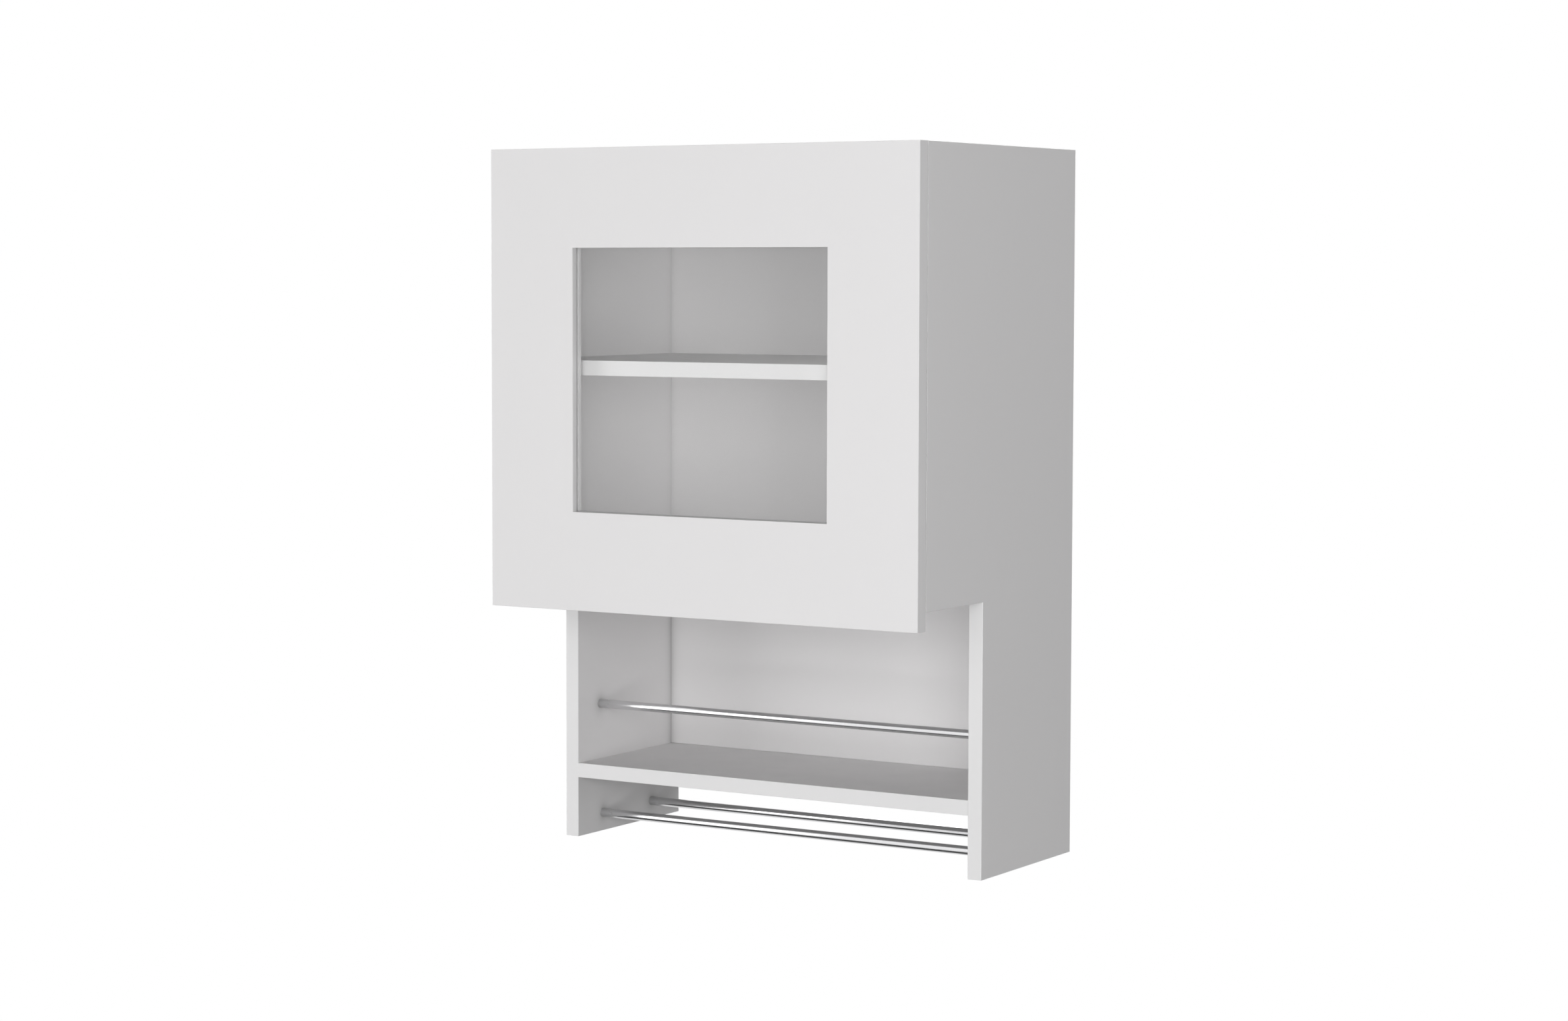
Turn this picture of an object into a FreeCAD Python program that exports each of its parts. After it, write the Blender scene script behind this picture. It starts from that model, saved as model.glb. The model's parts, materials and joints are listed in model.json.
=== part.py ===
import FreeCAD, Part
import math
import os

# A white wall cabinet: a glazed cupboard on top, an open bay below it, a shelf with a
# gallery rail, and two hanging rods under the shelf. Millimetres, +Z up.
# The origin is the centre of the four wall-screw holes, on the wall plane.
# +X runs to the viewer's right, the wall is at +Y, and the door faces -Y.

# Overall sizes
board = 15.0
width = 485.0
height = 708.0
upper_depth = 308.5
lower_depth = 194.0
clearance = 0.1
overrun = 1.0

# Shelves and back, measured from the cabinet's top, its foot and its front edges
shelf_drop = 209.0
shelf_setback = 7.0
open_shelf_rise = 77.0

# Door: a board with a rebated window, hung in front of the cupboard
door_thickness = 15.0
door_height = 456.0
door_overhang = 18.0
swing_clearance = 0.3
frame_width = 98.0
rebate_width = 9.0
rebate_lip = 7.0
glass_thickness = 4.0
glass_play = 0.5
hinge_edge_radius = 2.0

# Pins that hold the glazing beads, driven outward into the door board
bead_pin_radius = 0.7
bead_pin_length = 15.0
bead_pin_inset = 45.0

# Wall-screw holes through the back panel
wall_hole_radius = 3.0
wall_hole_drop = 56.0
wall_hole_rise = 340.0
wall_hole_span = 340.0

# Chromed rods, let into the sides
rod_radius = 4.5
rod_seat = 10.0
gallery_rise = 58.0
gallery_setback = 41.0
hanging_rise = 19.0
front_rod_setback = 45.5
rear_rod_inset = 55.0

# Cam locks with their bolts, and wooden dowels, at the ends of each board
cam_end = 50.0
cam_inset = 24.0
cam_radius = 7.5
cam_height = 12.0
cam_recess = 0.2
cam_wall = 2.2
cam_cavity = 7.4
cam_slot_length = 8.0
cam_slot_width = 1.6
cam_slot_depth = 2.0
bolt_thread_radius = 2.5
bolt_thread_length = 10.5
bolt_tip = 1.0
bolt_shank_radius = 3.0
bolt_bore_radius = 4.0
bolt_neck_radius = 2.0
bolt_head_radius = 3.4
bolt_head_length = 4.0
bolt_head_taper = 0.7
dowel_step = 32.0
dowel_radius = 4.0
dowel_length = 30.0
dowel_seat = 10.5
dowel_chamfer = 1.0

# One-joint cup hinges on the left: cup in the door, gooseneck arm on the side panel
hinge_drop = 75.0
pin_radius = 1.2
pin_play = 0.05
pin_end = 0.5
eye_radius = 2.2
eye_gap = 0.3
cup_edge = 3.0
cup_radius = 17.4
cup_depth = 12.5
cup_wall = 0.5
lug_thickness = 1.5
lug_gap = 0.4
lug_reach = 2.6
flange_thickness = 0.8
flange_rim = 1.6
cup_screw_span = 48.0
cup_screw_offset = 6.0
cup_ear_radius = 6.0
arm_thickness = 1.6
arm_reach = 12.1
arm_bend = 4.0
arm_neck_width = 6.5
arm_neck_back = 4.0
arm_width = 14.0
arm_back = 62.0
arm_fold = 1.2
arm_fold_front = 12.0
arm_fold_lift = 0.3
plate_thickness = 2.5
plate_front = 20.0
plate_back = 59.0
plate_line = 37.0
plate_screw_span = 32.0
plate_ear_radius = 6.5
rail_play = 0.2
arm_screw_lines = (28.0, 50.0)

# Screws: shank radius, head radius, head height and length under the head
plate_screw_radius = 2.9
plate_screw_head = 4.6
plate_screw_sink = 1.7
plate_screw_length = 12.0
cup_screw_radius = 1.75
cup_screw_head = 3.4
cup_screw_sink = 0.6
cup_screw_length = 11.0
arm_screw_radius = 2.5
arm_screw_head = 4.2
arm_screw_head_height = 2.4
arm_screw_length = 6.0
catch_screw_radius = 1.75
catch_screw_head = 3.2
catch_screw_head_height = 1.6
catch_screw_length = 12.0
strike_screw_sink = 0.9

# Magnetic catch under the top panel, its strike plate, and the door's bumpers
catch_inset = 77.5
catch_width = 34.0
catch_depth = 16.0
catch_height = 12.0
catch_corner = 4.0
catch_ear = 9.0
catch_ear_thickness = 3.0
magnet_width = 22.0
magnet_depth = 10.0
magnet_height = 7.0
strike_width = 26.0
strike_height = 11.0
strike_gap = 0.3
strike_corner = 2.0
bumper_radius = 4.0
bumper_round = 0.5
bumper_inset = 40.0

# Places worked out from the sizes above
z_top = wall_hole_drop + wall_hole_rise / 2
z_foot = z_top - height
door_low = z_top - door_height
notch = door_low + door_overhang
side_inner = width / 2 - board
catch_offset = side_inner - catch_inset
shelf_top = z_top - shelf_drop
open_shelf_top = z_foot + open_shelf_rise
back_face = -board
back_high = z_top - board
carcass_front = -upper_depth

# The hinge pin sits as close to the cup's wall and floor as its eye allows. The door's eased
# corner then sweeps back past the door's own plane, and the gap behind the door lets it pass.
cup_x = -width / 2 + cup_edge + cup_radius + clearance
cup_half_chord = math.sqrt((cup_radius - cup_wall) ** 2 - (arm_neck_width / 2) ** 2)
pin_x = cup_x - cup_half_chord + eye_gap + eye_radius
pin_edge = pin_x + width / 2
pin_depth = cup_depth - cup_wall - eye_gap - eye_radius
corner_sweep = hinge_edge_radius + math.hypot(pin_edge - hinge_edge_radius, pin_depth - hinge_edge_radius)
door_gap = corner_sweep - pin_depth + swing_clearance
flange_reach = math.sqrt((pin_depth + door_gap - swing_clearance) ** 2 - (pin_depth + flange_thickness) ** 2)
strike_thickness = door_gap - strike_gap
bumper_thickness = door_gap - clearance
door_back = carcass_front - door_gap
door_front = door_back - door_thickness
glass_front = door_front + rebate_lip
bead_front = glass_front + glass_thickness
window_half = width / 2 - frame_width
window_low = door_low + frame_width
window_high = z_top - frame_width
hinge_heights = {"upper": z_top - hinge_drop, "lower": notch + hinge_drop}
pin_y = door_back - pin_depth
web_x = pin_x + arm_reach + arm_bend
web_under = web_x - arm_thickness / 2

X = FreeCAD.Vector(1, 0, 0)
Y = FreeCAD.Vector(0, 1, 0)
Z = FreeCAD.Vector(0, 0, 1)
CAM_UP = 0
CAM_DOWN = 180
CAM_REAR = -90


def at(x, y, z):
    return FreeCAD.Vector(x, y, z)


def block(x0, x1, y0, y1, z0, z1):
    return Part.makeBox(x1 - x0, y1 - y0, z1 - z0, at(x0, y0, z0))


def bar(radius, start, direction, length):
    return Part.makeCylinder(radius, length, start, direction)


def turned(outline, start, direction):
    """A turned solid from (distance along the axis, radius) points, begun and ended on the axis."""
    across = at(direction.y, direction.z, direction.x)
    points = [start + direction * along + across * radius for along, radius in outline]
    return Part.Face(Part.makePolygon(points + points[:1])).revolve(start, direction, 360)


def sheet(points, path):
    return Part.Face(Part.makePolygon(points + points[:1])).extrude(path)


def slotted_plate(centre, half_span, radius, direction, thickness):
    """A plate with round ends, long in Z, laid from its centre along the given direction."""
    across = at(direction.y, direction.x, direction.z)
    corners = [
        centre + across * (radius * i) + Z * (half_span * j)
        for i, j in ((-1, -1), (1, -1), (1, 1), (-1, 1))
    ]
    plate = sheet(corners, direction * thickness)
    for end in (-1, 1):
        plate = plate.fuse(bar(radius, centre + Z * (half_span * end), direction, thickness))
    return plate.removeSplitter()


def cut_all(shape, tools):
    return shape.cut(tools) if tools else shape


# Board joints: where each board's cams and dowels sit along its ends

FLAT_BOARDS = {
    "top_panel": (carcass_front, 0.0, back_high, CAM_UP),
    "cupboard_floor": (carcass_front, back_face, notch, CAM_UP),
    "cupboard_shelf": (carcass_front + shelf_setback, back_face, shelf_top - board, CAM_DOWN),
    "open_shelf": (-lower_depth, 0.0, open_shelf_top - board, CAM_DOWN),
}


def flat_joints(front, rear, under):
    middle = under + board / 2
    cams = [(y, middle) for y in (front + cam_end, rear - cam_end)]
    inner = cam_end + dowel_step
    dowels = [(y, middle) for y in (front + inner, rear - inner)]
    return cams, dowels


def back_joints():
    middle = back_face + board / 2
    centre = (open_shelf_top + back_high) / 2
    heights = (open_shelf_top + cam_end, centre, back_high - cam_end)
    inner = cam_end + dowel_step
    cams = [(middle, z) for z in heights]
    dowels = [(middle, z) for z in (open_shelf_top + inner, back_high - inner)]
    return cams, dowels


def board_joints():
    joints = {}
    for name, (front, rear, under, turn) in FLAT_BOARDS.items():
        joints[name] = flat_joints(front, rear, under) + (turn,)
    joints["back_panel"] = back_joints() + (CAM_REAR,)
    return joints


JOINTS = board_joints()


def cam_placement(side, place, turn):
    centre = at(side * (side_inner - cam_inset), *place)
    return FreeCAD.Placement(centre, FreeCAD.Rotation(X, turn))


def cam_lock(side, place, turn):
    """A cam: a drum with a hollow for the bolt's head, a hole for its neck and a cross slot."""
    face = board / 2 - cam_recess
    drum = bar(cam_radius, at(0, 0, face), -Z, cam_height)
    hollow = bar(cam_radius - cam_wall, at(0, 0, -cam_cavity / 2), Z, cam_cavity)
    mouth = bar(bolt_neck_radius + clearance, at(0, 0, 0), X * side, cam_radius + overrun)
    reach, half = cam_slot_length / 2, cam_slot_width / 2
    floor = face - cam_slot_depth
    slots = [
        block(-reach, reach, -half, half, floor, face + overrun),
        block(-half, half, -reach, reach, floor, face + overrun),
    ]
    lock = cut_all(drum, [hollow, mouth] + slots)
    lock.Placement = cam_placement(side, place, turn)
    return lock


def cam_pocket(side, place, turn):
    depth = cam_height + cam_recess + clearance
    pocket = bar(cam_radius + clearance, at(0, 0, board / 2 - depth), Z, depth + overrun)
    pocket.Placement = cam_placement(side, place, turn)
    return pocket


def cam_bolt(side, place):
    """A bolt screwed into the side: tip, thread, shank, neck, and a head inside the cam."""
    rim = cam_inset - cam_radius
    hollow = cam_radius - cam_wall
    head = cam_inset - math.sqrt(hollow ** 2 - bolt_head_radius ** 2) + clearance
    outline = [
        (-bolt_thread_length, 0),
        (-bolt_thread_length, bolt_thread_radius - bolt_tip),
        (-bolt_thread_length + bolt_tip, bolt_thread_radius),
        (0, bolt_thread_radius),
        (0, bolt_shank_radius),
        (rim - clearance, bolt_shank_radius),
        (rim - clearance, bolt_neck_radius),
        (head - bolt_head_taper, bolt_neck_radius),
        (head, bolt_head_radius),
        (head + bolt_head_length, bolt_head_radius),
        (head + bolt_head_length, 0),
    ]
    return turned(outline, at(side * side_inner, *place), X * -side)


def dowel(side, place):
    outline = [
        (-dowel_seat, 0),
        (-dowel_seat, dowel_radius - dowel_chamfer),
        (-dowel_seat + dowel_chamfer, dowel_radius),
        (dowel_length - dowel_seat - dowel_chamfer, dowel_radius),
        (dowel_length - dowel_seat, dowel_radius - dowel_chamfer),
        (dowel_length - dowel_seat, 0),
    ]
    return turned(outline, at(side * side_inner, *place), X * -side)


def end_cuts(name):
    """Pockets and bores in both ends of one board."""
    cams, dowels, turn = JOINTS[name]
    dowel_bore = dowel_length - dowel_seat + clearance
    tools = []
    for side in (-1, 1):
        for place in cams:
            start = at(side * side_inner, *place)
            tools.append(cam_pocket(side, place, turn))
            tools.append(bar(bolt_bore_radius, start, X * -side, cam_inset))
        for place in dowels:
            start = at(side * side_inner, *place)
            tools.append(bar(dowel_radius + clearance, start, X * -side, dowel_bore))
    return tools


def side_cuts(side):
    """Blind bores in a side's inner face for bolts, dowels and rods."""
    tools = []
    for cams, dowels, _ in JOINTS.values():
        for place in cams:
            start = at(side * side_inner, *place)
            depth = bolt_thread_length + clearance
            tools.append(bar(bolt_thread_radius + clearance, start, X * side, depth))
        for place in dowels:
            start = at(side * side_inner, *place)
            tools.append(bar(dowel_radius + clearance, start, X * side, dowel_seat + clearance))
    for place in ROD_PLACES.values():
        start = at(side * side_inner, *place)
        tools.append(bar(rod_radius + clearance, start, X * side, rod_seat + clearance))
    return tools


# Boards

ROD_PLACES = {
    "gallery_rail": (-lower_depth + gallery_setback, open_shelf_top + gallery_rise),
    "front_hanging_rod": (-lower_depth + front_rod_setback, z_foot + hanging_rise),
    "rear_hanging_rod": (-rear_rod_inset, z_foot + hanging_rise),
}


def side_panel(side):
    """An L-shaped side: deep beside the cupboard, shallower beside the open bay."""
    inner = side * side_inner
    outline = [
        at(inner, 0, z_top),
        at(inner, 0, z_foot),
        at(inner, -lower_depth, z_foot),
        at(inner, -lower_depth, notch),
        at(inner, carcass_front, notch),
        at(inner, carcass_front, z_top),
    ]
    tools = side_cuts(side)
    if side < 0:
        tools += plate_screw_bores()
    return cut_all(sheet(outline, X * (side * board)), tools)


def flat_board(name):
    front, rear, under, _ = FLAT_BOARDS[name]
    plain = block(-side_inner, side_inner, front, rear, under, under + board)
    tools = end_cuts(name)
    if name == "top_panel":
        tools += catch_screw_bores()
    return cut_all(plain, tools)


def back_panel():
    plain = block(-side_inner, side_inner, back_face, 0, open_shelf_top, back_high)
    holes = []
    for i in (-1, 1):
        for j in (-1, 1):
            mark = at(i * wall_hole_span / 2, back_face - overrun, j * wall_hole_rise / 2)
            holes.append(bar(wall_hole_radius, mark, Y, board + overrun + overrun))
    return cut_all(plain, end_cuts("back_panel") + holes)


def rod(name):
    half = side_inner + rod_seat
    return bar(rod_radius, at(-half, *ROD_PLACES[name]), X, half + half)


# Door

def door_board():
    """The door: a board with its hinge edge eased at the back, a window and a rebate behind it."""
    plain = block(-width / 2, width / 2, door_front, door_back, door_low, z_top)
    corner = at(-width / 2, door_back, (door_low + z_top) / 2)
    eased = [e for e in plain.Edges if e.CenterOfMass.isEqual(corner, clearance)]
    plain = plain.makeFillet(hinge_edge_radius, eased)
    window = block(
        -window_half, window_half, door_front - overrun, door_back + overrun, window_low, window_high
    )
    rebate = block(
        -window_half - rebate_width,
        window_half + rebate_width,
        glass_front,
        door_back + overrun,
        window_low - rebate_width,
        window_high + rebate_width,
    )
    tools = [window, rebate] + cup_bores() + bead_pin_bores() + [strike_screw_bore()]
    return cut_all(plain, tools)


def glass_pane():
    half = window_half + rebate_width - glass_play
    low = window_low - rebate_width + glass_play
    high = window_high + rebate_width - glass_play
    return block(-half, half, glass_front, bead_front, low, high)


def window_corners(grow):
    return {
        "left_low": (-window_half - grow, window_low - grow),
        "right_low": (window_half + grow, window_low - grow),
        "right_high": (window_half + grow, window_high + grow),
        "left_high": (-window_half - grow, window_high + grow),
    }


BEADS = {
    "glass_bead_bottom": ("left_low", "right_low"),
    "glass_bead_right": ("right_low", "right_high"),
    "glass_bead_top": ("right_high", "left_high"),
    "glass_bead_left": ("left_high", "left_low"),
}


def bead_pin_marks():
    """Start and direction of every bead pin: on the bead's inner face, heading outward."""
    y = (bead_front + door_back) / 2
    marks = []
    for side in (-1, 1):
        for z in (window_low + bead_pin_inset, window_high - bead_pin_inset):
            marks.append((at(side * window_half, y, z), X * side))
        for level, way in ((window_low, -Z), (window_high, Z)):
            marks.append((at(side * (window_half - bead_pin_inset), y, level), way))
    return marks


def bead_pin_bores():
    return [
        bar(bead_pin_radius + clearance, start, way, bead_pin_length + clearance)
        for start, way in bead_pin_marks()
    ]


def glass_bead(name):
    """A bead mitred at both ends, filling the rebate behind the glass."""
    first, last = BEADS[name]
    inner, outer = window_corners(0), window_corners(rebate_width)
    points = [
        at(x, bead_front, z)
        for x, z in (inner[first], inner[last], outer[last], outer[first])
    ]
    plain = sheet(points, Y * (door_back - bead_front))
    return cut_all(plain, bead_pin_bores())


def bead_pins():
    pins = [bar(bead_pin_radius, start, way, bead_pin_length) for start, way in bead_pin_marks()]
    return Part.makeCompound(pins)


# Hinges

def cup_screw_marks():
    return [
        at(cup_x + cup_screw_offset, door_back + flange_thickness, z + end * cup_screw_span / 2)
        for z in hinge_heights.values()
        for end in (-1, 1)
    ]


def cup_bores():
    """Cup recesses and screw pilots in the door's back."""
    recesses = [
        bar(cup_radius + clearance, at(cup_x, door_back + overrun, z), -Y, cup_depth + clearance + overrun)
        for z in hinge_heights.values()
    ]
    pilots = [
        bar(cup_screw_radius + clearance, mark, -Y, cup_screw_length + clearance)
        for mark in cup_screw_marks()
    ]
    return recesses + pilots


def sunk_screw(radius, head, sink, length):
    """Outline of a countersunk screw, from the top of its head along its axis."""
    return [
        (0, 0),
        (0, head),
        (sink, radius),
        (length - radius, radius),
        (length, 0),
    ]


def pan_screw(radius, head, head_height, length):
    """Outline of a pan-head screw, from the top of its head along its axis."""
    return [
        (0, 0),
        (0, head - head_height / 2),
        (head_height / 2, head),
        (head_height, head),
        (head_height, radius),
        (head_height + length, radius),
        (head_height + length, 0),
    ]


def sunk_hole(radius, head, sink, start, direction, depth):
    outline = [
        (0, 0),
        (0, head + clearance),
        (sink, radius + clearance),
        (depth, radius + clearance),
        (depth, 0),
    ]
    return turned(outline, start, direction)


def hinge_cup(z):
    """A cup with a thin flange, two screw ears, and two lugs that carry the pin."""
    mouth = at(cup_x, door_back, z)
    face = at(cup_x, door_back + flange_thickness, z)
    shell = bar(cup_radius, mouth, -Y, cup_depth)
    flange = bar(cup_radius + flange_rim, mouth, Y, flange_thickness)
    ears = slotted_plate(mouth + X * cup_screw_offset, cup_screw_span / 2, cup_ear_radius, Y, flange_thickness)
    flat = pin_x - flange_reach
    beyond = cup_radius + cup_screw_span
    kept = block(flat, flat + beyond, door_back, door_back + flange_thickness, z - beyond, z + beyond)
    inside = bar(cup_radius - cup_wall, face, -Y, flange_thickness + cup_depth - cup_wall)
    cup = shell.fuse(flange.fuse(ears).common(kept)).cut(inside)
    well = bar(cup_radius, mouth, -Y, cup_depth)
    for end in (-1, 1):
        near = z + end * (arm_neck_width / 2 + lug_gap)
        far = near + end * lug_thickness
        lug = block(
            -width / 2, pin_x + lug_reach, door_back - cup_depth, pin_y + lug_reach, min(near, far), max(near, far)
        )
        cup = cup.fuse(lug.common(well))
    half = pin_half()
    pin_bore = bar(pin_radius + pin_play, at(pin_x, pin_y, z - half), Z, half + half)
    holes = [pin_bore]
    for end in (-1, 1):
        mark = at(cup_x + cup_screw_offset, face.y, z + end * cup_screw_span / 2)
        holes.append(
            sunk_hole(cup_screw_radius, cup_screw_head, cup_screw_sink, mark, -Y, flange_thickness + overrun)
        )
    return cup.cut(holes).removeSplitter()


def pin_half():
    return arm_neck_width / 2 + lug_gap + lug_thickness + pin_end


def hinge_pin(z):
    half = pin_half()
    return bar(pin_radius, at(pin_x, pin_y, z - half), Z, half + half)


def arm_strip(half_width):
    """The gooseneck: from the pin along the cup's floor, round a bend, then back along the side."""
    t = arm_thickness / 2
    turn_x, turn_y = pin_x + arm_reach, pin_y + arm_bend
    tail = carcass_front + arm_back
    slant = math.sqrt(1 / 2)
    inner, outer = arm_bend - t, arm_bend + t

    def spot(x, y):
        return at(x, y, -half_width)

    def arc(radius):
        middle = spot(turn_x + radius * slant, turn_y - radius * slant)
        return Part.Arc(spot(turn_x, turn_y - radius), middle, spot(turn_x + radius, turn_y)).toShape()

    edges = [
        Part.makeLine(spot(pin_x, pin_y - t), spot(turn_x, pin_y - t)),
        arc(outer),
        Part.makeLine(spot(web_x + t, turn_y), spot(web_x + t, tail)),
        Part.makeLine(spot(web_x + t, tail), spot(web_x - t, tail)),
        Part.makeLine(spot(web_x - t, tail), spot(web_x - t, turn_y)),
        arc(inner),
        Part.makeLine(spot(turn_x, pin_y + t), spot(pin_x, pin_y + t)),
        Part.makeLine(spot(pin_x, pin_y + t), spot(pin_x, pin_y - t)),
    ]
    outline = Part.Wire(edges)
    return Part.Face(outline).extrude(Z * (half_width + half_width))


def hinge_arm(z):
    """A folded arm: an eye on the pin, a narrow neck through the cup, a channel over the plate."""
    half, neck = arm_width / 2, arm_neck_width / 2
    neck_end = carcass_front + arm_neck_back
    tail = carcass_front + arm_back
    arm = arm_strip(half)
    for end in (-1, 1):
        low, high = sorted((end * neck, end * (half + overrun)))
        arm = arm.cut(block(pin_x - arm_reach, web_x + arm_bend, door_front, neck_end, low, high))
        low, high = sorted((end * (half - arm_fold), end * half))
        foot = -side_inner + plate_thickness + arm_fold_lift
        arm = arm.fuse(block(foot, web_x, carcass_front + arm_fold_front, tail, low, high))
    arm = arm.fuse(bar(eye_radius, at(pin_x, pin_y, -neck), Z, arm_neck_width))
    bore = bar(pin_radius + pin_play, at(pin_x, pin_y, -half), Z, arm_width)
    holes = [
        bar(arm_screw_radius + clearance, at(web_under - overrun, carcass_front + line, 0), X, arm_bend)
        for line in arm_screw_lines
    ]
    arm = arm.cut([bore] + holes).removeSplitter()
    arm.translate(Z * z)
    return arm


def plate_screw_marks(z):
    y = carcass_front + plate_line
    return [at(-side_inner + plate_thickness, y, z + end * plate_screw_span / 2) for end in (-1, 1)]


def plate_screw_bores():
    depth = plate_screw_length - plate_thickness + clearance
    bores = []
    for z in hinge_heights.values():
        for mark in plate_screw_marks(z):
            start = at(-side_inner, mark.y, mark.z)
            bores.append(bar(plate_screw_radius + clearance, start, -X, depth))
    return bores


def hinge_plate(z):
    """A cross plate: a foot along the arm, ears for two screws, and a rail inside the arm."""
    half = arm_width / 2 - arm_fold - rail_play
    front, back = carcass_front + plate_front, carcass_front + plate_back
    foot_top = -side_inner + plate_thickness
    rail = block(-side_inner, web_under, front, back, z - half, z + half)
    ear_centre = at(-side_inner, carcass_front + plate_line, z)
    ears = slotted_plate(ear_centre, plate_screw_span / 2, plate_ear_radius, X, plate_thickness)
    holes = [
        bar(arm_screw_radius + clearance, at(-side_inner - overrun, carcass_front + line, z), X, arm_width)
        for line in arm_screw_lines
    ]
    for mark in plate_screw_marks(z):
        start = at(foot_top, mark.y, mark.z)
        depth = plate_thickness + overrun
        holes.append(sunk_hole(plate_screw_radius, plate_screw_head, plate_screw_sink, start, -X, depth))
    return rail.fuse(ears).cut(holes).removeSplitter()


def plate_screws():
    outline = sunk_screw(plate_screw_radius, plate_screw_head, plate_screw_sink, plate_screw_length)
    marks = [mark for z in hinge_heights.values() for mark in plate_screw_marks(z)]
    return Part.makeCompound([turned(outline, mark, -X) for mark in marks])


def cup_screws():
    outline = sunk_screw(cup_screw_radius, cup_screw_head, cup_screw_sink, cup_screw_length)
    return Part.makeCompound([turned(outline, mark, -Y) for mark in cup_screw_marks()])


def arm_screws():
    outline = pan_screw(arm_screw_radius, arm_screw_head, arm_screw_head_height, arm_screw_length)
    head = web_x + arm_thickness / 2 + arm_screw_head_height
    marks = [
        at(head, carcass_front + line, z)
        for z in hinge_heights.values()
        for line in arm_screw_lines
    ]
    return Part.makeCompound([turned(outline, mark, -X) for mark in marks])


# Catch and bumpers

def catch_screw_marks():
    reach = catch_width / 2 + catch_ear / 2
    y = carcass_front + catch_depth / 2
    return [at(catch_offset + end * reach, y, back_high - catch_ear_thickness) for end in (-1, 1)]


def catch_screw_bores():
    depth = catch_screw_length - catch_ear_thickness + clearance
    return [
        bar(catch_screw_radius + clearance, at(mark.x, mark.y, back_high), Z, depth)
        for mark in catch_screw_marks()
    ]


def magnet_block(grow):
    """The magnet's block, or with some growth the pocket that it sits in."""
    centre_z = back_high - catch_height / 2
    half, tall = magnet_width / 2 + grow, magnet_height / 2 + grow
    front = carcass_front - overrun if grow else carcass_front
    back = carcass_front + magnet_depth + grow
    return block(catch_offset - half, catch_offset + half, front, back, centre_z - tall, centre_z + tall)


def catch_housing():
    """A catch body with round back corners and two screw ears, screwed up under the top panel."""
    half = catch_width / 2
    low = back_high - catch_height
    body = block(catch_offset - half, catch_offset + half, carcass_front, carcass_front + catch_depth, low, back_high)
    rear = [
        e for e in body.Edges
        if e.CenterOfMass.y > carcass_front + catch_depth - clearance
        and abs(e.CenterOfMass.z - (low + back_high) / 2) < clearance
    ]
    body = body.makeFillet(catch_corner, rear)
    reach = half + catch_ear
    ear_low = back_high - catch_ear_thickness
    ears = block(
        catch_offset - reach,
        catch_offset + reach,
        carcass_front + catch_corner,
        carcass_front + catch_depth - catch_corner,
        ear_low,
        back_high,
    )
    holes = [
        bar(catch_screw_radius + clearance, mark - Z * overrun, Z, catch_ear_thickness + overrun + overrun)
        for mark in catch_screw_marks()
    ]
    return body.fuse(ears).cut([magnet_block(clearance)] + holes).removeSplitter()


def catch_screws():
    outline = pan_screw(catch_screw_radius, catch_screw_head, catch_screw_head_height, catch_screw_length)
    return Part.makeCompound(
        [turned(outline, mark - Z * catch_screw_head_height, Z) for mark in catch_screw_marks()]
    )


def strike_mark():
    return at(catch_offset, door_back + strike_thickness, back_high - catch_height / 2)


def strike_screw_bore():
    start = at(catch_offset, door_back, strike_mark().z)
    return bar(cup_screw_radius + clearance, start, -Y, cup_screw_length)


def strike_plate():
    mark = strike_mark()
    half, tall = strike_width / 2, strike_height / 2
    plate = block(mark.x - half, mark.x + half, door_back, mark.y, mark.z - tall, mark.z + tall)
    corners = [e for e in plate.Edges if abs(e.tangentAt(e.FirstParameter).y) > clearance]
    plate = plate.makeFillet(strike_corner, corners)
    depth = strike_thickness + overrun
    return plate.cut(sunk_hole(cup_screw_radius, cup_screw_head, strike_screw_sink, mark, -Y, depth))


def strike_screw():
    outline = sunk_screw(cup_screw_radius, cup_screw_head, strike_screw_sink, cup_screw_length)
    return turned(outline, strike_mark(), -Y)


def door_bumpers():
    """Soft buttons on the door's back that meet the right side's front edge."""
    outline = [
        (0, 0),
        (0, bumper_radius),
        (bumper_thickness - bumper_round, bumper_radius),
        (bumper_thickness, bumper_radius - bumper_round),
        (bumper_thickness, 0),
    ]
    x = width / 2 - board / 2
    heights = (z_top - bumper_inset, notch + bumper_inset)
    return Part.makeCompound([turned(outline, at(x, door_back, z), Y) for z in heights])


# Fittings gathered from every board joint

def fittings():
    locks, bolts, dowels = [], [], []
    for cam_places, dowel_places, turn in JOINTS.values():
        for side in (-1, 1):
            locks += [cam_lock(side, place, turn) for place in cam_places]
            bolts += [cam_bolt(side, place) for place in cam_places]
            dowels += [dowel(side, place) for place in dowel_places]
    return {
        "cam_locks": Part.makeCompound(locks),
        "cam_bolts": Part.makeCompound(bolts),
        "dowels": Part.makeCompound(dowels),
    }


def all_nodes():
    nodes = {"left_side": side_panel(-1), "right_side": side_panel(1), "back_panel": back_panel()}
    nodes.update({name: flat_board(name) for name in FLAT_BOARDS})
    nodes.update({name: rod(name) for name in ROD_PLACES})
    nodes.update(fittings())
    nodes["door_board"] = door_board()
    nodes["glass_pane"] = glass_pane()
    nodes.update({name: glass_bead(name) for name in BEADS})
    nodes["bead_pins"] = bead_pins()
    for level, z in hinge_heights.items():
        nodes[level + "_hinge_cup"] = hinge_cup(z)
        nodes[level + "_hinge_pin"] = hinge_pin(z)
        nodes[level + "_hinge_arm"] = hinge_arm(z)
        nodes[level + "_hinge_plate"] = hinge_plate(z)
    nodes["cup_screws"] = cup_screws()
    nodes["plate_screws"] = plate_screws()
    nodes["arm_screws"] = arm_screws()
    nodes["catch_housing"] = catch_housing()
    nodes["catch_magnet"] = magnet_block(0)
    nodes["catch_screws"] = catch_screws()
    nodes["strike_plate"] = strike_plate()
    nodes["strike_screw"] = strike_screw()
    nodes["door_bumpers"] = door_bumpers()
    return nodes


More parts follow.
